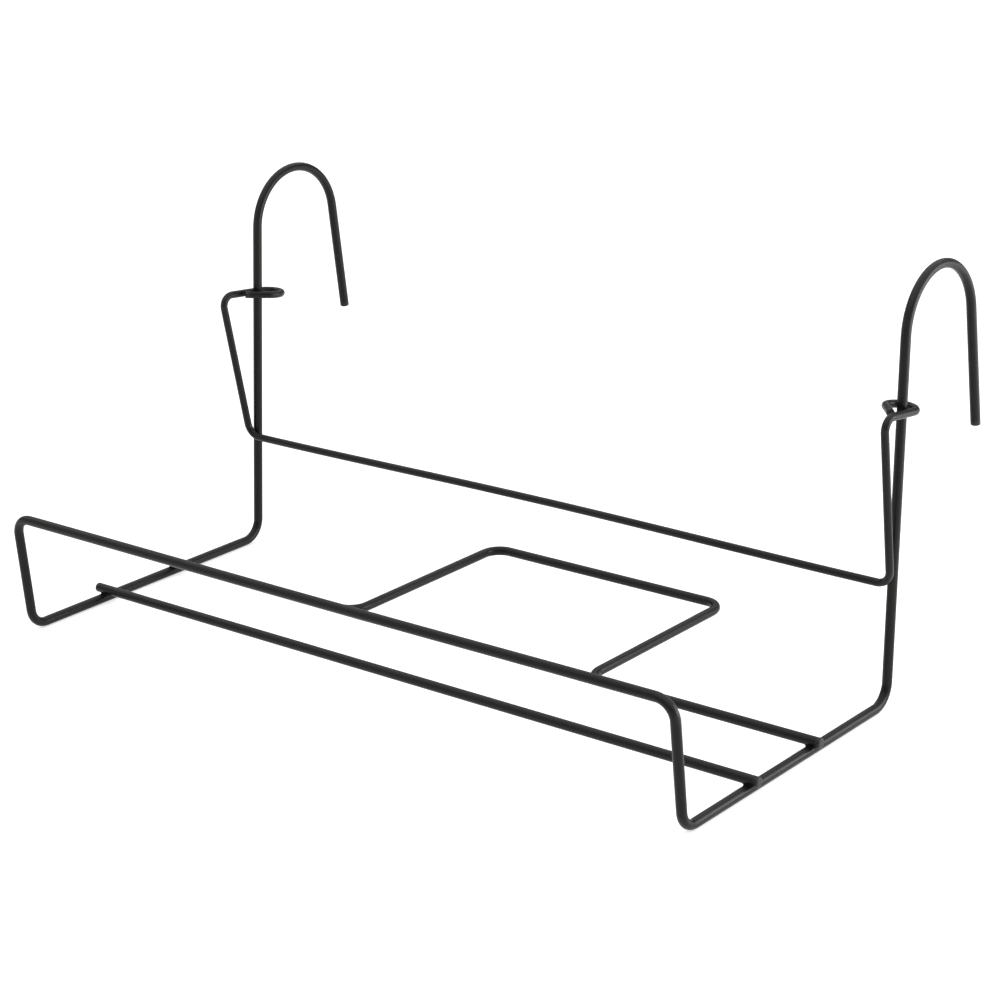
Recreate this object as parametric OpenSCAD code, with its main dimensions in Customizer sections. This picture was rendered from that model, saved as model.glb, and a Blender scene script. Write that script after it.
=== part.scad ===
// Bent wire hanging cradle. One continuous frame wire makes both railing hooks, both uprights,
// the side rails and the front guard rail. Two floor rods are welded across the side rails, and a
// thinner brace wire slides on the uprights by its two eyes. Millimetres, +X right, +Y to the
// railing, +Z up, with the middle of the footprint at the origin.

/* [Wire] */
// Diameter of the frame and floor wire
wire_d = 5; // [4:0.5:6]
// Diameter of the brace wire
brace_d = 4; // [3:0.1:5]

/* [Cradle] */
// Distance between the centrelines of the two side rails
rail_span = 435; // [340:1:540]
// Depth of the cradle, from the front legs' feet to the uprights
cradle_d = 178; // [146:1:220]
// Height of the front guard rail above the side rails
guard_h = 65; // [50:1:80]
// How far the front guard rail stands forward of the legs' feet
guard_fwd = 6; // [0:1:12]
// Backward lean of the uprights, in degrees
upright_lean = 3.9; // [0:0.1:6]

/* [Hooks] */
// Height of the hooks' crowns above the side rails
crown_h = 217.5; // [180:0.5:262]
// Bend radius of the hooks, to the centreline
hook_r = 32.5; // [26:0.5:40]
// Outward lean of the hooks' free legs, in degrees
hook_lean = 6.8; // [0:0.1:10]
// Drop from a hook's crown to its cut end
hook_drop = 93; // [75:1:112]

/* [Frame bends] */
// Radius of the bend under each upright
heel_r = 12; // [8:0.5:15]
// Radius of the bend at the foot of each front leg
toe_r = 10; // [6:0.5:14]
// Radius of the bend at each end of the guard rail
shoulder_r = 10; // [6:0.5:14]

/* [Floor rods] */
// Distance of the front rod from the front legs' feet
front_rod_y = 54; // [35:1:70]
// Distance of the rear rod from the front legs' feet
rear_rod_y = 108; // [90:1:120]
// How far both rods run past the side rails' centrelines
rod_overhang = 6; // [4:0.5:10]
// Width of the rear rod's spacer loop
loop_w = 160; // [120:1:220]
// Sideways offset of the spacer loop
loop_shift = 2; // [-5:0.5:5]
// How far the spacer loop reaches back from the rear rod
loop_reach = 124.5; // [105:0.5:150]
// Bend radius of the spacer loop
loop_r = 10.5; // [7:0.5:14]
// How deep the welded wires sink into each other
set_down = 0.3; // [0.2:0.1:0.5]
// Diameter of each weld
weld_d = 8; // [7:0.5:9]

/* [Brace] */
// Height of the brace bar above the side rails
brace_h = 63.3; // [50:0.1:80]
// Height of the brace legs
brace_leg_h = 89.1; // [70:0.1:108]
// How far the brace legs lean forward over their height
brace_leg_fwd = 14; // [8:0.5:18]
// How far the brace legs' feet stand outside the uprights' centrelines
brace_foot_out = 1.5; // [0:0.1:3]
// Radius of the bend at each end of the brace bar
foot_r = 8; // [5:0.5:10]
// Radius of the bend at the top of each brace leg
top_r = 6; // [5:0.5:8]
// Radius of an eye's round back
eye_r = 7.5; // [6:0.1:9.5]
// How far the back of an eye stands behind the upright's centreline
eye_reach = 11.7; // [9:0.1:15]
// Downward slope of the eyes to the back, in degrees
eye_slope = 6.3; // [0:0.1:9]
// How far an eye's wire turns before its end crosses in front of the upright, in degrees
eye_angle = 220; // [205:1:235]
// Gap between an eye's cut end and its outer run
end_gap = 0.5; // [0.2:0.1:2]
// Gap between the brace and the uprights
brace_gap = 0.4; // [0.3:0.05:0.8]

/* [Hidden] */
$fn = 48;
rail_x = rail_span / 2;
crown_y = cradle_d + crown_h * tan(upright_lean);
// A hook's two quarter bends meet at the crown: its corners are this far apart
crown_len = hook_r * (tan((90 - upright_lean) / 2) + tan((90 - hook_lean) / 2));
tip_y = crown_y + crown_len + hook_drop * tan(hook_lean);
rod_z = wire_d - set_down;
loop_y = rear_rod_y + loop_reach;

// The frame wire's corners on one side, from the hook's cut end to the guard rail; s is -1 or 1
function frame_points(s) = [
    [s * rail_x, tip_y, crown_h - hook_drop],
    [s * rail_x, crown_y + crown_len, crown_h],
    [s * rail_x, crown_y, crown_h],
    [s * rail_x, cradle_d, 0],
    [s * rail_x, 0, 0],
    [s * rail_x, -guard_fwd, guard_h],
    [0, -guard_fwd, guard_h]
];
frame_radii = [0, hook_r, hook_r, heel_r, toe_r, shoulder_r, 0];

// The rear floor rod's corners, from left to right
loop_points = [
    [-rail_x - rod_overhang, rear_rod_y, rod_z],
    [loop_shift - loop_w / 2, rear_rod_y, rod_z],
    [loop_shift - loop_w / 2, loop_y, rod_z],
    [loop_shift + loop_w / 2, loop_y, rod_z],
    [loop_shift + loop_w / 2, rear_rod_y, rod_z],
    [rail_x + rod_overhang, rear_rod_y, rod_z]
];
loop_radii = [0, loop_r, loop_r, loop_r, loop_r, 0];

// The brace wire keeps this distance from the uprights' centrelines
brace_off = (wire_d + brace_d) / 2 + brace_gap;
bar_y = cradle_d + brace_h * tan(upright_lean) - brace_off;
eye_out = rail_x + brace_off;
leg_top = [bar_y - brace_leg_fwd, brace_h + brace_leg_h];
upright_at_eye = cradle_d + leg_top[1] * tan(upright_lean);

// An eye lies in one plane that slopes down to the back: v is the distance along it from the leg
eye_len = (upright_at_eye + eye_reach - leg_top[0]) / cos(eye_slope);
eye_corner = eye_out - eye_r * (1 + tan((eye_angle - 90) / 2));
end_x = eye_out - brace_d - end_gap;
end_len = (end_x - eye_corner) / tan(eye_angle - 180);
function eye_point(s, x, v) = [s * x, leg_top[0] + v * cos(eye_slope), leg_top[1] - v * sin(eye_slope)];

// The brace wire's corners on one side, from the middle of its bar to the eye's cut end
function brace_points(s) = [
    [0, bar_y, brace_h],
    [s * (rail_x + brace_foot_out), bar_y, brace_h],
    eye_point(s, eye_out, 0),
    eye_point(s, eye_out, eye_len),
    eye_point(s, eye_corner, eye_len),
    eye_point(s, end_x, eye_len - end_len)
];
brace_radii = [0, foot_r, top_r, eye_r, eye_r, 0];

// The frame is lifted to stand on its side rails, with the middle of its footprint at the origin
front_y = -guard_fwd - wire_d / 2;
back_y = tip_y + wire_d / 2 * cos(hook_lean);
place = [0, -(front_y + back_y) / 2, wire_d / 2];

function unit(v) = v / norm(v);
// Distance from corner i of a wire to where its bend of radius r[i] begins
function bend_len(p, r, i) = r[i] == 0 ? 0 : r[i] * tan(turn(p, i) / 2);
// Angle that the wire turns through at corner i
function turn(p, i) = acos(unit(p[i] - p[i - 1]) * unit(p[i + 1] - p[i]));
// Axis that the wire turns about at corner i
function turn_axis(p, i) = unit(cross(p[i] - p[i - 1], p[i + 1] - p[i]));
// Where the bend at corner i begins and ends
function bend_start(p, r, i) = p[i] - unit(p[i] - p[i - 1]) * bend_len(p, r, i);
function bend_end(p, r, i) = p[i] + unit(p[i + 1] - p[i]) * bend_len(p, r, i);

// A straight round wire of diameter d from a to b
module rod(a, b, d) {
    v = b - a;
    translate(a)
        rotate([0, acos(v[2] / norm(v)), atan2(v[1], v[0])])
            cylinder(d = d, h = norm(v));
}

// The straight stretch of a wire between corners i and i + 1
module stretch(p, r, i, d) {
    rod(i == 0 ? p[0] : bend_end(p, r, i), i + 2 == len(p) ? p[i + 1] : bend_start(p, r, i + 1), d);
}

// A round wire bent to radius r: it starts at point a, heads along h and turns by angle about axis
module arc(a, h, axis, r, angle, d) {
    inward = cross(axis, h);
    c = a + r * inward;
    multmatrix([
        [-inward[0], h[0], axis[0], c[0]],
        [-inward[1], h[1], axis[1], c[1]],
        [-inward[2], h[2], axis[2], c[2]],
        [0, 0, 0, 1]
    ])
        rotate_extrude(angle = angle)
            translate([r, 0])
                circle(d = d);
}

// The bend at corner i of a wire, joined with the next one when both is true
module bend(p, r, i, d, both = false) {
    arc(bend_start(p, r, i), unit(p[i] - p[i - 1]), turn_axis(p, i), r[i],
        turn(p, i) + (both ? turn(p, i + 1) : 0), d);
}

module frame_stretch(s, i) {
    color([0.13, 0.13, 0.14])
        translate(place)
            stretch(frame_points(s), frame_radii, i, wire_d);
}

module frame_bend(s, i, both = false) {
    color([0.13, 0.13, 0.14])
        translate(place)
            bend(frame_points(s), frame_radii, i, wire_d, both);
}

module front_guard_rail() {
    left = frame_points(-1);
    right = frame_points(1);
    color([0.13, 0.13, 0.14])
        translate(place)
            rod(bend_end(left, frame_radii, 5), bend_end(right, frame_radii, 5), wire_d);
}

// The side rails' tops, which the floor rods sink into
module rail_seats() {
    for (s = [-1, 1])
        rod([s * rail_x, 0, 0], [s * rail_x, cradle_d, 0], wire_d);
}

module front_floor_rod() {
    end = rail_x + rod_overhang;
    color([0.13, 0.13, 0.14])
        translate(place)
            difference() {
                rod([-end, front_rod_y, rod_z], [end, front_rod_y, rod_z], wire_d);
                rail_seats();
            }
}

module loop_stretch(i) {
    color([0.13, 0.13, 0.14])
        translate(place)
            difference() {
                stretch(loop_points, loop_radii, i, wire_d);
                rail_seats();
            }
}

module loop_bend(i) {
    color([0.13, 0.13, 0.14])
        translate(place)
            bend(loop_points, loop_radii, i, wire_d);
}

// A weld where a floor rod at distance y crosses the side rail
module weld(s, y) {
    color([0.11, 0.11, 0.12])
        translate(place)
            difference() {
                translate([s * rail_x, y, rod_z / 2])
                    sphere(d = weld_d);
                rail_seats();
                rod([-rail_span, y, rod_z], [rail_span, y, rod_z], wire_d);
            }
}

module brace_stretch(s, i) {
    color([0.15, 0.15, 0.16])
        translate(place)
            stretch(brace_points(s), brace_radii, i, brace_d);
}

module brace_bend(s, i, both = false) {
    color([0.15, 0.15, 0.16])
        translate(place)
            bend(brace_points(s), brace_radii, i, brace_d, both);
}

module brace_bar() {
    color([0.15, 0.15, 0.16])
        translate(place)
            rod(bend_start(brace_points(-1), brace_radii, 1), bend_start(brace_points(1), brace_radii, 1),
                brace_d);
}

front_guard_rail();
frame_bend(-1, 5);  // left_shoulder_bend
frame_bend(1, 5);  // right_shoulder_bend
frame_stretch(-1, 4);  // left_front_leg
frame_stretch(1, 4);  // right_front_leg
frame_bend(-1, 4);  // left_toe_bend
frame_bend(1, 4);  // right_toe_bend
frame_stretch(-1, 3);  // left_side_rail
frame_stretch(1, 3);  // right_side_rail
frame_bend(-1, 3);  // left_heel_bend
frame_bend(1, 3);  // right_heel_bend
frame_stretch(-1, 2);  // left_upright
frame_stretch(1, 2);  // right_upright
frame_bend(-1, 1, true);  // left_hook_arc
frame_bend(1, 1, true);  // right_hook_arc
frame_stretch(-1, 0);  // left_hook_leg
frame_stretch(1, 0);  // right_hook_leg
front_floor_rod();
loop_stretch(0);  // rear_rod_left
loop_stretch(4);  // rear_rod_right
loop_bend(1);  // loop_foot_left
loop_bend(4);  // loop_foot_right
loop_stretch(1);  // loop_arm_left
loop_stretch(3);  // loop_arm_right
loop_bend(2);  // loop_corner_left
loop_bend(3);  // loop_corner_right
loop_stretch(2);  // loop_back_bar
weld(-1, front_rod_y);  // weld_front_left
weld(1, front_rod_y);  // weld_front_right
weld(-1, rear_rod_y);  // weld_rear_left
weld(1, rear_rod_y);  // weld_rear_right
brace_bar();
brace_bend(-1, 1);  // left_brace_foot
brace_bend(1, 1);  // right_brace_foot
brace_stretch(-1, 1);  // left_brace_leg
brace_stretch(1, 1);  // right_brace_leg
brace_bend(-1, 2);  // left_brace_top
brace_bend(1, 2);  // right_brace_top
brace_stretch(-1, 2);  // left_eye_outer_run
brace_stretch(1, 2);  // right_eye_outer_run
brace_bend(-1, 3, true);  // left_eye_turn
brace_bend(1, 3, true);  // right_eye_turn
brace_stretch(-1, 4);  // left_eye_end
brace_stretch(1, 4);  // right_eye_end
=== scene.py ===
"""Bent wire hanging cradle: the finished look of its four wires and four welds.

Each wire is one continuous length. Its centreline runs through the CAD sections in order, and a
Geometry Nodes tree sweeps a round section along it, rounds the sheared ends and flattens the
wire a little where it was bent. Metres, +X right, +Y to the railing, +Z up.
"""
import math

import bpy
import numpy as np
from mathutils import Matrix, Vector


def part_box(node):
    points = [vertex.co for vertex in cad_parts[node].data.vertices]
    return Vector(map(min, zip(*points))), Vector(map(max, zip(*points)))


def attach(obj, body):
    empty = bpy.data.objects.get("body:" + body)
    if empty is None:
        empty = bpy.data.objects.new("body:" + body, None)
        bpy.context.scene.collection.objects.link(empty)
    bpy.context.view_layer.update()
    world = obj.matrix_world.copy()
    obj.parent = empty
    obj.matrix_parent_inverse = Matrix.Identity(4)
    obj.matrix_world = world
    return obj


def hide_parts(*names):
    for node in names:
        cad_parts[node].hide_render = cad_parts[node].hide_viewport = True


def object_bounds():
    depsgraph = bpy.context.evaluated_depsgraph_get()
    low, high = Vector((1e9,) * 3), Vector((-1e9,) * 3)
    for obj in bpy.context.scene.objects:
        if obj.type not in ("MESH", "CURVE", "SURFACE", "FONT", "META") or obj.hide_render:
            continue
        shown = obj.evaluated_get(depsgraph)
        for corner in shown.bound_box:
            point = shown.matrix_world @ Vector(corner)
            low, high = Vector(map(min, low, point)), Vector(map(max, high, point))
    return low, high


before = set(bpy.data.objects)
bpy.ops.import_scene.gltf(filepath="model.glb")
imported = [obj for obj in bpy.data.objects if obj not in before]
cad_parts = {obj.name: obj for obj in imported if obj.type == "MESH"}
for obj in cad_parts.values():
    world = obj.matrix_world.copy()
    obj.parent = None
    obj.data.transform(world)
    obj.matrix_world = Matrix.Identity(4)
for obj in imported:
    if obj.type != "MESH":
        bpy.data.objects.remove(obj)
cad_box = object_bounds()

# View
VIEW_AZIMUTH = 38.4673
VIEW_ELEVATION = 16.3237
VIEW_ROLL = -1.2643
VIEW_DISTANCE = 1.32945
VIEW_AIM = (0.053512, -0.026029, 0.162948)
VIEW_LENS = 95.472
VIEW_SHIFT = (-0.03, -0.12)
SENSOR_WIDTH = 36.0
FARTHEST_SEEN = 60.0

# Studio
WHITE = (1.0, 1.0, 1.0, 1.0)
SURROUND_STRENGTH = 0.3
FLOOR_RADIUS = 14.0
FLOOR_SIDES = 64
FLOOR_GAP = 0.0002
FLOOR_GREYS = (0.60, 0.63)
FLOOR_GRAIN_SCALE = 3.0
FLOOR_ROUGHNESS = 0.9
FLOOR_GLOW = 0.6

# Powder coat
STREAK_SCALE = 900.0
STREAK_STRETCH = (1.0, 1.0, 0.03)
PATCH_SCALE = 22.0
SPECKS_PER_PEEL = 4.0
PATCH_RANGE = (0.42, 0.68)
WEAR_RANGE = (0.10, 0.60)
MOST_WORN = 0.8
UNEVENNESS_RANGE = (0.6, 1.4)
GLOSSIER, DULLER = 0.06, 0.08
STREAK_HEIGHT = 0.35
COAT_BUMP = 0.35
COAT_BUMP_DEPTH = 0.00008
THIN_COAT_LENGTH = 0.004

# A section's two flat ends: reach and spread in wire diameters, area in wire areas
SAME_LEVEL = 1e-5
SAME_FACING = 0.9999
END_REACH = 1.05
END_AREA = 0.68
END_SPREAD = 0.52
STRAIGHT_ENOUGH = 0.99999
SAME_PLACE = 1e-6

# Wire forming
STRAIGHT_STEP = 0.004
BEND_STEP = math.radians(3.5)
ROUNDING_STEPS = 7
WIRE_SIDES = 36
POWDER_THICKNESS = 0.00012
BEND_FLATTENING = 0.04
HOOK_TIP_ROUNDING = 0.0005
ROD_END_ROUNDING = 0.0009
BRACE_TIP_ROUNDING = 0.0006
GUARD_RAIL_BOW = (0.0, 0.0, -0.0005)
BRACE_BAR_BOW = (0.0, 0.0007, 0.0012)
NO_BOW = (0.0, 0.0, 0.0)
FEWEST_BEND_STEPS = 4
EASING_PASSES = 3

# The two hand-bent eyes, and how their lift, tilt and stretch come in
LEFT_EYE_LIFT, LEFT_EYE_TILT, LEFT_EYE_STRETCH = -0.0014, 0.0, 0.0022
RIGHT_EYE_LIFT, RIGHT_EYE_TILT, RIGHT_EYE_STRETCH = 0.0012, 0.0012, -0.0014
LIFT_RATE = 1.08
EYE_DEPTH = 0.014
EYE_EASE = 0.006
EYE_WIDTH = 0.012

# Welds
WELD_ALONG_RAIL = 0.0046
WELD_ALONG_ROD = 0.0040
WELD_ROUND_RAIL = math.radians(66)
WELD_ROUND_ROD = math.radians(60)
WELD_TURNS = 72
WELD_STEPS = 12
WELD_SWELLS = ((0.05, 2), (0.035, 5))
WELD_TOES = ((0.05, 3), (0.03, 7))
WELD_WAIST = 0.5
WELD_ROOT_DEPTH = 0.0009
WELD_ROOT_ACROSS = 0.6
WELD_ROOT_ALONG = 0.8


# ---------------------------------------------------------------- camera, floor and light

def add_camera():
    azimuth, elevation = math.radians(VIEW_AZIMUTH), math.radians(VIEW_ELEVATION)
    back = Vector((
        math.sin(azimuth) * math.cos(elevation),
        -math.cos(azimuth) * math.cos(elevation),
        math.sin(elevation),
    ))
    right = Vector((math.cos(azimuth), math.sin(azimuth), 0.0))
    turn = Matrix.Rotation(math.radians(VIEW_ROLL), 3, back)
    right = turn @ right
    up = back.cross(right)
    place = Matrix((right, up, back)).transposed().to_4x4()
    place.translation = Vector(VIEW_AIM) + back * VIEW_DISTANCE
    lens = bpy.data.cameras.new("studio_camera")
    lens.sensor_width = SENSOR_WIDTH
    lens.lens = VIEW_LENS
    lens.shift_x, lens.shift_y = VIEW_SHIFT
    lens.clip_end = FARTHEST_SEEN
    camera = bpy.data.objects.new("studio_camera", lens)
    camera.matrix_world = place
    bpy.context.scene.collection.objects.link(camera)
    bpy.context.scene.camera = camera


def add_softbox(name, centre, target, width, height, power):
    light = bpy.data.lights.new(name, "AREA")
    light.shape = "RECTANGLE"
    light.size, light.size_y = width, height
    light.energy = power
    softbox = bpy.data.objects.new(name, light)
    softbox.location = centre
    aim = Vector(target) - Vector(centre)
    softbox.rotation_euler = aim.to_track_quat("-Z", "Y").to_euler()
    softbox.visible_camera = False
    bpy.context.scene.collection.objects.link(softbox)


def add_skylight(name, direction, spread, strength):
    """A wide, even light: direction points to it, and spread is its width in degrees."""
    light = bpy.data.lights.new(name, "SUN")
    light.energy = strength
    light.angle = math.radians(spread)
    skylight = bpy.data.objects.new(name, light)
    skylight.rotation_euler = Vector(direction).to_track_quat("Z", "Y").to_euler()
    bpy.context.scene.collection.objects.link(skylight)


def light_studio():
    world = bpy.data.worlds.new("studio_surround")
    world.use_nodes = True
    surround = world.node_tree.nodes["Background"]
    surround.inputs["Color"].default_value = WHITE
    surround.inputs["Strength"].default_value = SURROUND_STRENGTH
    bpy.context.scene.world = world
    bpy.context.scene.view_settings.view_transform = "Standard"
    add_skylight("overhead_scrim", direction=(-0.1, 0.1, 1.0), spread=110.0, strength=2.7)
    add_softbox(
        "right_softbox", centre=(0.82, 0.42, 0.25), target=(0.1, 0.0, 0.05),
        width=0.7, height=0.45, power=7.5,
    )
    add_softbox(
        "front_softbox", centre=(-0.88, -1.13, 0.5), target=(0.0, 0.0, 0.05),
        width=0.8, height=0.6, power=1.6,
    )


def floor_material():
    """A white light table, so the floor stays white right up to the wires."""
    material, nodes, links, shader = new_material("studio_floor")
    grain = nodes.new("ShaderNodeTexNoise")
    grain.inputs["Scale"].default_value = FLOOR_GRAIN_SCALE
    tone = nodes.new("ShaderNodeValToRGB")
    for stop, grey in zip(tone.color_ramp.elements, FLOOR_GREYS):
        stop.color = (grey, grey, grey, 1.0)
    links.new(grain.outputs["Fac"], tone.inputs["Fac"])
    links.new(tone.outputs["Color"], shader.inputs["Base Color"])
    shader.inputs["Roughness"].default_value = FLOOR_ROUGHNESS
    shader.inputs["Specular IOR Level"].default_value = 0.0
    shader.inputs["Emission Color"].default_value = WHITE
    shader.inputs["Emission Strength"].default_value = FLOOR_GLOW
    return material


def add_floor():
    lowest = cad_box[0][2]
    rim = [
        (FLOOR_RADIUS * math.cos(a), FLOOR_RADIUS * math.sin(a), lowest - FLOOR_GAP)
        for a in (2 * math.pi * i / FLOOR_SIDES for i in range(FLOOR_SIDES))
    ]
    mesh = bpy.data.meshes.new("studio_floor")
    mesh.from_pydata(rim, [], [list(range(FLOOR_SIDES))])
    mesh.materials.append(floor_material())
    floor = bpy.data.objects.new("studio_floor", mesh)
    bpy.context.scene.collection.objects.link(floor)


# ---------------------------------------------------------------- materials

def new_material(name):
    material = bpy.data.materials.new(name)
    material.use_nodes = True
    tree = material.node_tree
    return material, tree.nodes, tree.links, tree.nodes["Principled BSDF"]


def noise(nodes, links, vector, scale, detail=2.0, roughness=0.5):
    node = nodes.new("ShaderNodeTexNoise")
    node.inputs["Scale"].default_value = scale
    node.inputs["Detail"].default_value = detail
    node.inputs["Roughness"].default_value = roughness
    links.new(vector, node.inputs["Vector"])
    return node.outputs["Fac"]


def attribute(nodes, name):
    node = nodes.new("ShaderNodeAttribute")
    node.attribute_name = name
    return node


def remap(nodes, links, value, given, wanted):
    """Turns the given range of a value into the wanted one."""
    node = nodes.new("ShaderNodeMapRange")
    node.inputs["From Min"].default_value, node.inputs["From Max"].default_value = given
    node.inputs["To Min"].default_value, node.inputs["To Max"].default_value = wanted
    links.new(value, node.inputs["Value"])
    return node.outputs["Result"]


def math_node(nodes, links, operation, a, b):
    node = nodes.new("ShaderNodeMath")
    node.operation = operation
    for socket, value in zip(node.inputs, (a, b)):
        if isinstance(value, float):
            socket.default_value = value
        else:
            links.new(value, socket)
    return node.outputs["Value"]


def mix_colour(nodes, links, factor, a, b):
    node = nodes.new("ShaderNodeMix")
    node.data_type = "RGBA"
    links.new(factor, node.inputs["Factor"])
    for socket, value in ((node.inputs["A"], a), (node.inputs["B"], b)):
        if isinstance(value, tuple):
            socket.default_value = (*value, 1.0)
        else:
            links.new(value, socket)
    return node.outputs["Result"]


def powder_coat(name, dark, warm, thin, peel_size, roughness, shine=0.18):
    """Satin black powder coat over drawn wire: orange peel, and thin on bends and cut ends."""
    material, nodes, links, shader = new_material(name)
    place = nodes.new("ShaderNodeTexCoord").outputs["Object"]
    grain = nodes.new("ShaderNodeMapping")
    grain.inputs["Scale"].default_value = STREAK_STRETCH
    links.new(attribute(nodes, "grain").outputs["Vector"], grain.inputs["Vector"])
    streaks = noise(nodes, links, grain.outputs["Vector"], STREAK_SCALE, detail=3.0)
    patches = noise(nodes, links, place, PATCH_SCALE, detail=3.0, roughness=0.55)
    peel = noise(nodes, links, place, 1.0 / peel_size, roughness=0.4)
    speck = noise(nodes, links, place, SPECKS_PER_PEEL / peel_size, detail=1.0)

    warmth = remap(nodes, links, patches, PATCH_RANGE, (0.0, 1.0))
    colour = mix_colour(nodes, links, warmth, dark, warm)
    rub = math_node(nodes, links, "MULTIPLY", attribute(nodes, "rub").outputs["Fac"], patches)
    worn = math_node(nodes, links, "MAXIMUM", rub, attribute(nodes, "cut").outputs["Fac"])
    worn = math_node(nodes, links, "MULTIPLY", worn, speck)
    worn = remap(nodes, links, worn, WEAR_RANGE, (0.0, MOST_WORN))
    colour = mix_colour(nodes, links, worn, colour, thin)
    links.new(colour, shader.inputs["Base Color"])

    rough = math_node(nodes, links, "ADD", peel, streaks)
    rough_range = (roughness - GLOSSIER, roughness + DULLER)
    rough = remap(nodes, links, rough, UNEVENNESS_RANGE, rough_range)
    links.new(rough, shader.inputs["Roughness"])
    shader.inputs["Specular IOR Level"].default_value = shine

    height = math_node(nodes, links, "MULTIPLY", streaks, STREAK_HEIGHT)
    height = math_node(nodes, links, "ADD", peel, height)
    bump = nodes.new("ShaderNodeBump")
    bump.inputs["Strength"].default_value = COAT_BUMP
    bump.inputs["Distance"].default_value = COAT_BUMP_DEPTH
    links.new(height, bump.inputs["Height"])
    links.new(bump.outputs["Normal"], shader.inputs["Normal"])
    return material


# ---------------------------------------------------------------- centrelines of the wires

def flat_ends(node, diameter):
    """The centre and the outward direction of both flat ends of one section of wire."""
    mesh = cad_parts[node].data
    corners = np.array([[mesh.vertices[v].co for v in face.vertices] for face in mesh.polygons])
    outward = np.cross(corners[:, 1] - corners[:, 0], corners[:, 2] - corners[:, 0]) / 2
    areas = np.linalg.norm(outward, axis=1)
    corners, outward, areas = corners[areas > 0], outward[areas > 0], areas[areas > 0]
    outward /= areas[:, None]
    middles = corners.mean(axis=1)
    ends = []
    open_faces = np.ones(len(areas), bool)
    for i in np.argsort(-areas):
        if not open_faces[i]:
            continue
        apart = middles - middles[i]
        level = np.abs(apart @ outward[i]) < SAME_LEVEL
        near = np.linalg.norm(apart, axis=1) < END_REACH * diameter
        facing = outward @ outward[i] > SAME_FACING
        group = open_faces & level & near & facing
        open_faces &= ~group
        centre = np.average(middles[group], axis=0, weights=areas[group])
        spread = np.linalg.norm(corners[group].reshape(-1, 3) - centre, axis=1).max()
        wide_enough = areas[group].sum() > END_AREA * math.pi * diameter ** 2 / 4
        if wide_enough and spread < END_SPREAD * diameter:
            ends.append((Vector(centre), Vector(outward[i]).normalized()))
    if len(ends) != 2:
        raise ValueError(f"{node} has {len(ends)} flat ends")
    return ends


def lined_up(sections, diameter):
    """Every section's start and end, turned so that each one starts where the last one ends."""
    ends = [flat_ends(section, diameter) for section in sections]
    for i, (a, b) in enumerate(ends):
        if i > 0:
            joint = ends[i - 1][1][0]
            turned = (b[0] - joint).length < (a[0] - joint).length
        elif len(ends) > 1:
            following = [end[0] for end in ends[1]]
            turned = (min((a[0] - p).length for p in following)
                      < min((b[0] - p).length for p in following))
        else:
            turned = False
        if turned:
            ends[i] = [b, a]
    return ends


def straight_stations(start, finish, bow, near_start, near_finish):
    """Points along a straight section, closer together at a sheared end."""
    span = finish - start
    count = max(2, math.ceil(span.length / STRAIGHT_STEP))
    places = {i / count for i in range(count + 1)}
    places |= {d / span.length for d in near_start}
    places |= {1 - d / span.length for d in near_finish}
    return [
        (start + span * t + bow * math.sin(math.pi * t) ** 2, Vector((0.0, 0.0, 0.0)))
        for t in sorted(places)
    ]


def bend_stations(start, heading, finish, leaving, near_finish):
    """Points round a bend, each with the direction of the bend's centre."""
    chord = finish - start
    inward = (chord - heading * chord.dot(heading)).normalized()
    angle = heading.angle(leaving)
    if chord.dot(heading) < 0:
        angle = 2 * math.pi - angle
    radius = chord.length / (2 * math.sin(angle / 2))
    count = max(FEWEST_BEND_STEPS, math.ceil(angle / BEND_STEP))
    turns = {angle * i / count for i in range(count + 1)}
    turns |= {angle - d / radius for d in near_finish}
    return [
        (
            start + heading * (radius * math.sin(t)) + inward * (radius * (1 - math.cos(t))),
            inward * math.cos(t) - heading * math.sin(t),
        )
        for t in sorted(turns)
    ]


def centreline(sections, diameter, rounding, bows=None):
    """Points along a wire's middle, each with the direction of its bend's centre if it bends."""
    bows = bows or {}
    ends = lined_up(sections, diameter)
    rounds = [
        rounding * (1 - math.cos(math.pi / 2 * i / ROUNDING_STEPS))
        for i in range(ROUNDING_STEPS + 1)
    ]
    stations = []
    for i, (section, (start, finish)) in enumerate(zip(sections, ends)):
        near_start = rounds if i == 0 else []
        near_finish = rounds if i == len(sections) - 1 else []
        heading, leaving = -start[1], finish[1]
        if heading.dot(leaving) > STRAIGHT_ENOUGH:
            bow = Vector(bows.get(section, NO_BOW))
            run = straight_stations(start[0], finish[0], bow, near_start, near_finish)
        else:
            run = bend_stations(start[0], heading, finish[0], leaving, near_finish)
        stations += [
            s for s in run if not stations or (s[0] - stations[-1][0]).length > SAME_PLACE
        ]
    return stations


def eased(vectors):
    """The bending comes in over the last few stations, as it does on a bending jig."""
    values = np.array(vectors)
    for _ in range(EASING_PASSES):
        values[1:-1] = (values[:-2] + 2 * values[1:-1] + values[2:]) / 4
    return values


def with_uneven_eyes(stations):
    """The brace is bent by hand: one eye stands higher, shorter and more tilted."""
    places = np.array([point for point, _ in stations])
    front, back = places[:, 1].min(), places[:, 1].max()
    low, high = places[:, 2].min(), places[:, 2].max()
    outer = np.abs(places[:, 0]).max()
    formed = []
    for point, inward in stations:
        up = min(1.0, LIFT_RATE * (point.z - low) / (high - low))
        in_eye = min(1.0, max(0.0, (point.z - high + EYE_DEPTH) / EYE_EASE))
        behind = in_eye * (point.y - front) / (back - front)
        inside = in_eye * min(1.0, (outer - abs(point.x)) / EYE_WIDTH)
        if point.x > 0:
            lift, tilt, stretch = RIGHT_EYE_LIFT, RIGHT_EYE_TILT, RIGHT_EYE_STRETCH
        else:
            lift, tilt, stretch = LEFT_EYE_LIFT, LEFT_EYE_TILT, LEFT_EYE_STRETCH
        shift = Vector((0.0, stretch * behind, lift * up + tilt * inside))
        formed.append((point + shift, inward))
    return formed


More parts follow.
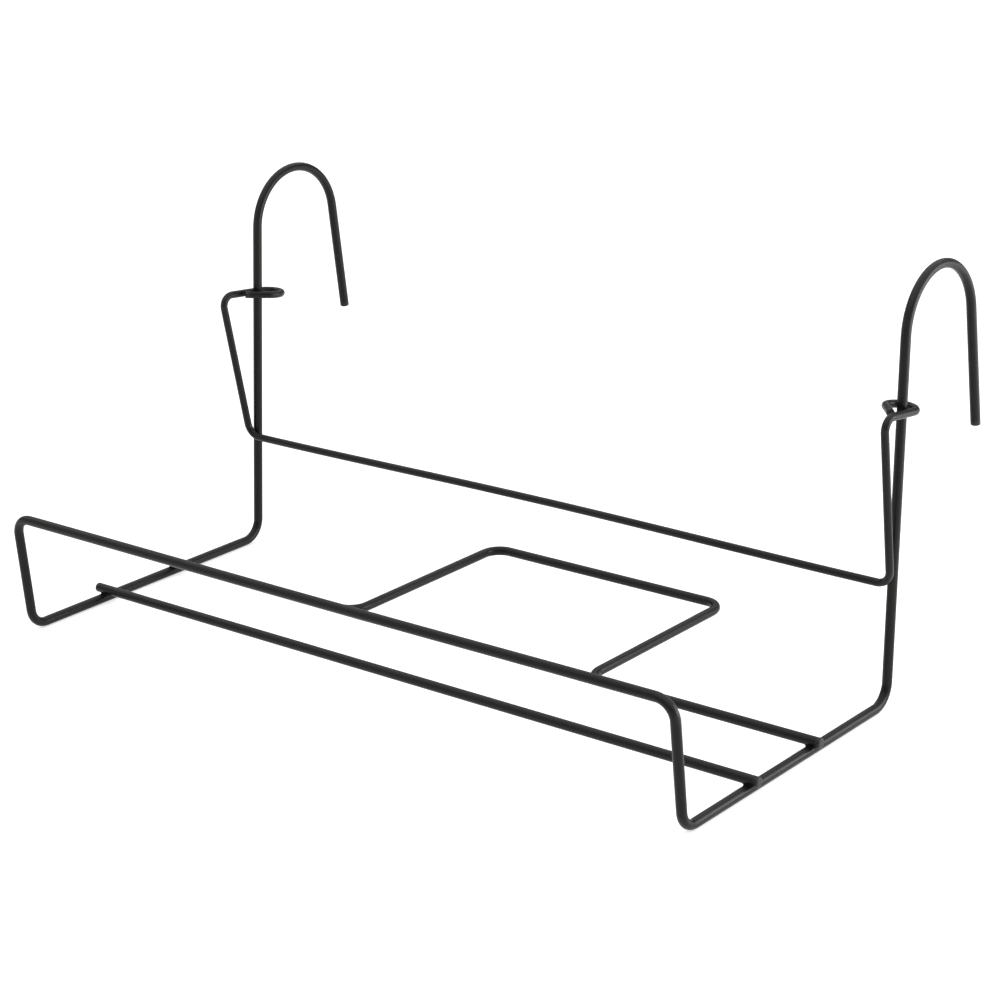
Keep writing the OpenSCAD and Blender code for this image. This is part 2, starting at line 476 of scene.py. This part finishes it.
def centreline_object(name, stations):
    mesh = bpy.data.meshes.new(name)
    points = [point for point, _ in stations]
    mesh.from_pydata(points, [(i, i + 1) for i in range(len(points) - 1)], [])
    inward = mesh.attributes.new("inward", "FLOAT_VECTOR", "POINT")
    inward.data.foreach_set("vector", eased([v for _, v in stations]).ravel())
    wire = bpy.data.objects.new(name, mesh)
    bpy.context.scene.collection.objects.link(wire)
    return wire


# ---------------------------------------------------------------- the wire-forming tree

class TreeMaker:
    """Adds nodes to a Geometry Nodes tree and links them."""

    def __init__(self, name):
        self.tree = bpy.data.node_groups.new(name, "GeometryNodeTree")
        self.sockets = {}

    def socket(self, name, kind, value=None):
        item = self.tree.interface.new_socket(name, in_out="INPUT", socket_type=kind)
        if value is not None:
            item.default_value = value
        self.sockets[name] = item.identifier

    def add(self, kind, inputs=None, **settings):
        node = self.tree.nodes.new(kind)
        for key, value in settings.items():
            setattr(node, key, value)
        for key, value in (inputs or {}).items():
            if isinstance(value, bpy.types.NodeSocket):
                self.tree.links.new(value, node.inputs[key])
            else:
                node.inputs[key].default_value = value
        return node

    def maths(self, operation, *values, clamp=False):
        inputs = dict(enumerate(values))
        node = self.add("ShaderNodeMath", inputs, operation=operation, use_clamp=clamp)
        return node.outputs[0]

    def vector_maths(self, operation, *values):
        node = self.add("ShaderNodeVectorMath", operation=operation)
        for i, value in enumerate(values):
            target = node.inputs["Scale"] if operation == "SCALE" and i == 1 else node.inputs[i]
            if isinstance(value, bpy.types.NodeSocket):
                self.tree.links.new(value, target)
            else:
                target.default_value = value
        return node.outputs["Value" if operation in ("DOT_PRODUCT", "LENGTH") else "Vector"]

    def store(self, geometry, name, kind, value):
        inputs = {"Geometry": geometry, "Name": name, "Value": value}
        node = self.add(
            "GeometryNodeStoreNamedAttribute", inputs, data_type=kind, domain="POINT"
        )
        return node.outputs["Geometry"]

    def read(self, name, kind):
        node = self.add("GeometryNodeInputNamedAttribute", {"Name": name}, data_type=kind)
        return node.outputs["Attribute"]


def wire_tree():
    """Sweeps a round wire along a centreline, with its ends rounded and its bends flattened."""
    maker = TreeMaker("formed_wire")
    maker.socket("Centreline", "NodeSocketGeometry")
    maker.socket("Diameter", "NodeSocketFloat")
    maker.socket("Sides", "NodeSocketInt", WIRE_SIDES)
    maker.socket("End Rounding", "NodeSocketFloat")
    maker.socket("Bend Flattening", "NodeSocketFloat", BEND_FLATTENING)
    maker.socket("Thin Coat Length", "NodeSocketFloat", THIN_COAT_LENGTH)
    maker.socket("Coat", "NodeSocketMaterial")
    maker.tree.interface.new_socket("Wire", in_out="OUTPUT", socket_type="NodeSocketGeometry")
    given = maker.add("NodeGroupInput").outputs
    radius = maker.maths("MULTIPLY", given["Diameter"], 0.5)

    curve = maker.add("GeometryNodeMeshToCurve", {"Mesh": given["Centreline"]}).outputs["Curve"]
    along = maker.add("GeometryNodeSplineParameter").outputs["Length"]
    whole = maker.add("GeometryNodeSplineLength").outputs["Length"]
    to_end = maker.maths("MINIMUM", along, maker.maths("SUBTRACT", whole, along))

    # A quarter round at each end: full size at one rounding from the end, smaller towards it
    depth = maker.maths("DIVIDE", to_end, given["End Rounding"], clamp=True)
    off_crest = maker.maths("POWER", maker.maths("SUBTRACT", 1.0, depth), 2.0)
    crest = maker.maths("SQRT", maker.maths("SUBTRACT", 1.0, off_crest, clamp=True))
    drop = maker.maths("MULTIPLY", maker.maths("SUBTRACT", 1.0, crest), given["End Rounding"])
    size = maker.maths("SUBTRACT", 1.0, maker.maths("DIVIDE", drop, radius))

    thin = maker.maths("DIVIDE", to_end, given["Thin Coat Length"], clamp=True)
    here = maker.add("GeometryNodeInputPosition").outputs["Position"]
    curve = maker.store(curve, "middle", "FLOAT_VECTOR", here)
    curve = maker.store(curve, "travel", "FLOAT", along)
    curve = maker.store(curve, "cut", "FLOAT", maker.maths("SUBTRACT", 1.0, thin))

    ring = maker.add(
        "GeometryNodeCurvePrimitiveCircle",
        {"Resolution": given["Sides"], "Radius": radius},
        mode="RADIUS",
    ).outputs["Curve"]
    ring_place = maker.add("GeometryNodeInputPosition").outputs["Position"]
    ring = maker.store(ring, "round", "FLOAT_VECTOR", ring_place)
    swept = maker.add(
        "GeometryNodeCurveToMesh",
        {"Curve": curve, "Profile Curve": ring, "Scale": size, "Fill Caps": True},
    ).outputs["Mesh"]

    # Each bend is pressed flatter towards and away from its centre
    inward = maker.read("inward", "FLOAT_VECTOR")
    position = maker.add("GeometryNodeInputPosition").outputs["Position"]
    reach = maker.vector_maths("SUBTRACT", position, maker.read("middle", "FLOAT_VECTOR"))
    towards = maker.vector_maths("DOT_PRODUCT", reach, inward)
    flattening = maker.maths("MULTIPLY", towards, given["Bend Flattening"])
    pressed = maker.maths("MULTIPLY", flattening, -1.0)
    outer = maker.maths("MULTIPLY", maker.maths("DIVIDE", towards, radius), -1.0, clamp=True)
    swept = maker.store(swept, "rub", "FLOAT", outer)
    travel = maker.add("ShaderNodeCombineXYZ", {"Z": maker.read("travel", "FLOAT")})
    round_wire = maker.read("round", "FLOAT_VECTOR")
    grain = maker.vector_maths("ADD", round_wire, travel.outputs["Vector"])
    swept = maker.store(swept, "grain", "FLOAT_VECTOR", grain)
    offset = maker.vector_maths("SCALE", inward, pressed)
    formed = maker.add("GeometryNodeSetPosition", {"Geometry": swept, "Offset": offset})

    smooth = maker.add("GeometryNodeSetShadeSmooth", {"Geometry": formed.outputs["Geometry"]})
    solid = maker.add("GeometryNodeRealizeInstances", {"Geometry": smooth.outputs["Geometry"]})
    coated = maker.add(
        "GeometryNodeSetMaterial",
        {"Geometry": solid.outputs["Geometry"], "Material": given["Coat"]},
    )
    maker.add("NodeGroupOutput", {"Wire": coated.outputs["Geometry"]})
    return maker


def form_wire(maker, name, stations, diameter, rounding, coat):
    """One coated wire as a plain mesh, swept along its centreline."""
    wire = centreline_object(name, stations)
    forming = wire.modifiers.new("forming", "NODES")
    forming.node_group = maker.tree
    forming[maker.sockets["Diameter"]] = diameter + 2 * POWDER_THICKNESS
    forming[maker.sockets["End Rounding"]] = rounding
    forming[maker.sockets["Coat"]] = coat
    graph = bpy.context.evaluated_depsgraph_get()
    mesh = bpy.data.meshes.new_from_object(wire.evaluated_get(graph), depsgraph=graph)
    wire.modifiers.remove(forming)
    wire.data = mesh
    mesh.name = name
    for spent in ("inward", "middle", "travel", "round"):
        mesh.attributes.remove(mesh.attributes[spent])
    return wire


# ---------------------------------------------------------------- welds

def uneven(angle, waves, phases):
    """A size of about one that swells and shrinks a little on the way round a weld."""
    size = 1
    for (height, count), phase in zip(waves, phases):
        size += height * math.sin(count * angle + phase)
    return size


def weld_mesh(name, x, y, rail_z, rod_z, radius, seed):
    """A saddle of weld metal, with a hollow waist, between a side rail and a floor rod."""
    draw = np.random.default_rng(seed)
    phase = draw.uniform(0.0, 2 * math.pi, 4)
    rings = [[] for _ in range(WELD_STEPS + 3)]
    for i in range(WELD_TURNS):
        a = 2 * math.pi * i / WELD_TURNS
        swell = uneven(a, WELD_SWELLS, phase[:2])
        toe = uneven(a, WELD_TOES, phase[2:])
        round_rail = WELD_ROUND_RAIL * math.cos(a) * toe
        round_rod = WELD_ROUND_ROD * math.sin(a) * swell
        low = Vector((
            radius * math.sin(round_rail),
            WELD_ALONG_RAIL * math.sin(a) * toe,
            rail_z + radius * math.cos(round_rail),
        ))
        high = Vector((
            WELD_ALONG_ROD * math.cos(a) * swell,
            radius * math.sin(round_rod),
            rod_z - radius * math.cos(round_rod),
        ))
        tangent_low = Vector((
            -math.cos(round_rail) * math.copysign(1, math.cos(a)) * abs(math.cos(a)),
            -math.sin(a),
            math.sin(abs(round_rail)) * abs(math.cos(a)),
        ))
        tangent_high = Vector((
            -math.cos(a),
            -math.cos(round_rod) * math.copysign(1, math.sin(a)) * abs(math.sin(a)),
            -math.sin(abs(round_rod)) * abs(math.sin(a)),
        ))
        hand = WELD_WAIST * (high - low).length
        c1 = low + tangent_low * hand
        c2 = high + tangent_high * hand
        rings[0].append(Vector((
            low.x * WELD_ROOT_ACROSS, low.y * WELD_ROOT_ALONG, low.z - WELD_ROOT_DEPTH,
        )))
        for j in range(WELD_STEPS + 1):
            t = j / WELD_STEPS
            s = 1 - t
            p = low * s ** 3 + c1 * (3 * s * s * t) + c2 * (3 * s * t * t) + high * t ** 3
            rings[j + 1].append(p)
        rings[-1].append(Vector((
            high.x * WELD_ROOT_ALONG, high.y * WELD_ROOT_ACROSS, high.z + WELD_ROOT_DEPTH,
        )))
    points = [Vector((p.x + x, p.y + y, p.z)) for ring in rings for p in ring]
    faces = []
    for j in range(len(rings) - 1):
        for i in range(WELD_TURNS):
            k = (i + 1) % WELD_TURNS
            a, b = j * WELD_TURNS, (j + 1) * WELD_TURNS
            faces.append((a + i, a + k, b + k, b + i))
    faces.append(tuple(reversed(range(WELD_TURNS))))
    top = (len(rings) - 1) * WELD_TURNS
    faces.append(tuple(range(top, top + WELD_TURNS)))
    mesh = bpy.data.meshes.new(name)
    mesh.from_pydata(points, [], faces)
    mesh.shade_smooth()
    return mesh


def add_weld(name, rail, rod, diameter, coat, seed):
    rail_low, rail_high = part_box(rail)
    rod_low, rod_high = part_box(rod)
    x = (rail_low.x + rail_high.x) / 2
    y = (rod_low.y + rod_high.y) / 2
    radius = diameter / 2 + POWDER_THICKNESS
    mesh = weld_mesh(
        name, x, y, (rail_low.z + rail_high.z) / 2, rod_high.z - diameter / 2, radius, seed
    )
    mesh.materials.append(coat)
    weld = bpy.data.objects.new(name, mesh)
    bpy.context.scene.collection.objects.link(weld)
    return weld


# ---------------------------------------------------------------- the cradle

def mirrored(pattern):
    """Section names from the left side to the middle, and on to the right side."""
    left_names = [name.format("left") for name in pattern]
    right_names = [name.format("right") for name in reversed(pattern)]
    return left_names, right_names


def wire_thickness(section):
    """A level section's height is the wire's thickness."""
    low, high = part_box(section)
    return high.z - low.z


def finish_piece(piece, body, nodes):
    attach(piece, body)
    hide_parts(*nodes)


add_camera()
light_studio()
add_floor()

frame_d = wire_thickness("front_guard_rail")
brace_d = wire_thickness("brace_bar")

frame_coat = powder_coat(
    "frame_powder_coat",
    dark=(0.0050, 0.0050, 0.0052), warm=(0.0072, 0.0064, 0.0058), thin=(0.038, 0.038, 0.040),
    peel_size=0.0008, roughness=0.33,
)
brace_coat = powder_coat(
    "brace_powder_coat",
    dark=(0.0050, 0.0050, 0.0052), warm=(0.0068, 0.0063, 0.0060), thin=(0.038, 0.038, 0.040),
    peel_size=0.0007, roughness=0.31,
)
# The welds' black powder coat gets darker colours than the wires' coat. The extra darkness is
# painted shade for the inner corners between rail and rod where the welds sit.
weld_coat_painted_shade = powder_coat(
    "weld_powder_coat_painted_shade",
    dark=(0.0036, 0.0036, 0.0037), warm=(0.0050, 0.0048, 0.0046), thin=(0.020, 0.020, 0.020),
    peel_size=0.0005, roughness=0.55, shine=0.08,
)

forming_tree = wire_tree()

left, right = mirrored([
    "{}_hook_leg", "{}_hook_arc", "{}_upright", "{}_heel_bend", "{}_side_rail", "{}_toe_bend",
    "{}_front_leg", "{}_shoulder_bend",
])
frame_sections = left + ["front_guard_rail"] + right
frame_line = centreline(
    frame_sections, frame_d, HOOK_TIP_ROUNDING, {"front_guard_rail": GUARD_RAIL_BOW}
)
frame_wire = form_wire(
    forming_tree, "frame_wire", frame_line, frame_d, HOOK_TIP_ROUNDING, frame_coat
)
finish_piece(frame_wire, "frame", frame_sections)

front_sections = ["front_floor_rod"]
rear_sections = [
    "rear_rod_left", "loop_foot_left", "loop_arm_left", "loop_corner_left", "loop_back_bar",
    "loop_corner_right", "loop_arm_right", "loop_foot_right", "rear_rod_right",
]
for name, sections in (
    ("front_floor_wire", front_sections),
    ("rear_floor_wire", rear_sections),
):
    line = centreline(sections, frame_d, ROD_END_ROUNDING)
    floor_wire = form_wire(forming_tree, name, line, frame_d, ROD_END_ROUNDING, frame_coat)
    finish_piece(floor_wire, "frame", sections)

left, right = mirrored([
    "{}_eye_end", "{}_eye_turn", "{}_eye_outer_run", "{}_brace_top", "{}_brace_leg",
    "{}_brace_foot",
])
brace_sections = left + ["brace_bar"] + right
brace_line = with_uneven_eyes(
    centreline(brace_sections, brace_d, BRACE_TIP_ROUNDING, {"brace_bar": BRACE_BAR_BOW})
)
brace_wire = form_wire(
    forming_tree, "brace_wire", brace_line, brace_d, BRACE_TIP_ROUNDING, brace_coat
)
finish_piece(brace_wire, "brace", brace_sections)

seed = 0
for side in ("left", "right"):
    for row, rod in (("front", "front_floor_rod"), ("rear", f"rear_rod_{side}")):
        seed += 1
        name = f"{row}_{side}_weld"
        weld = add_weld(name, f"{side}_side_rail", rod, frame_d, weld_coat_painted_shade, seed)
        finish_piece(weld, "frame", [f"weld_{row}_{side}"])
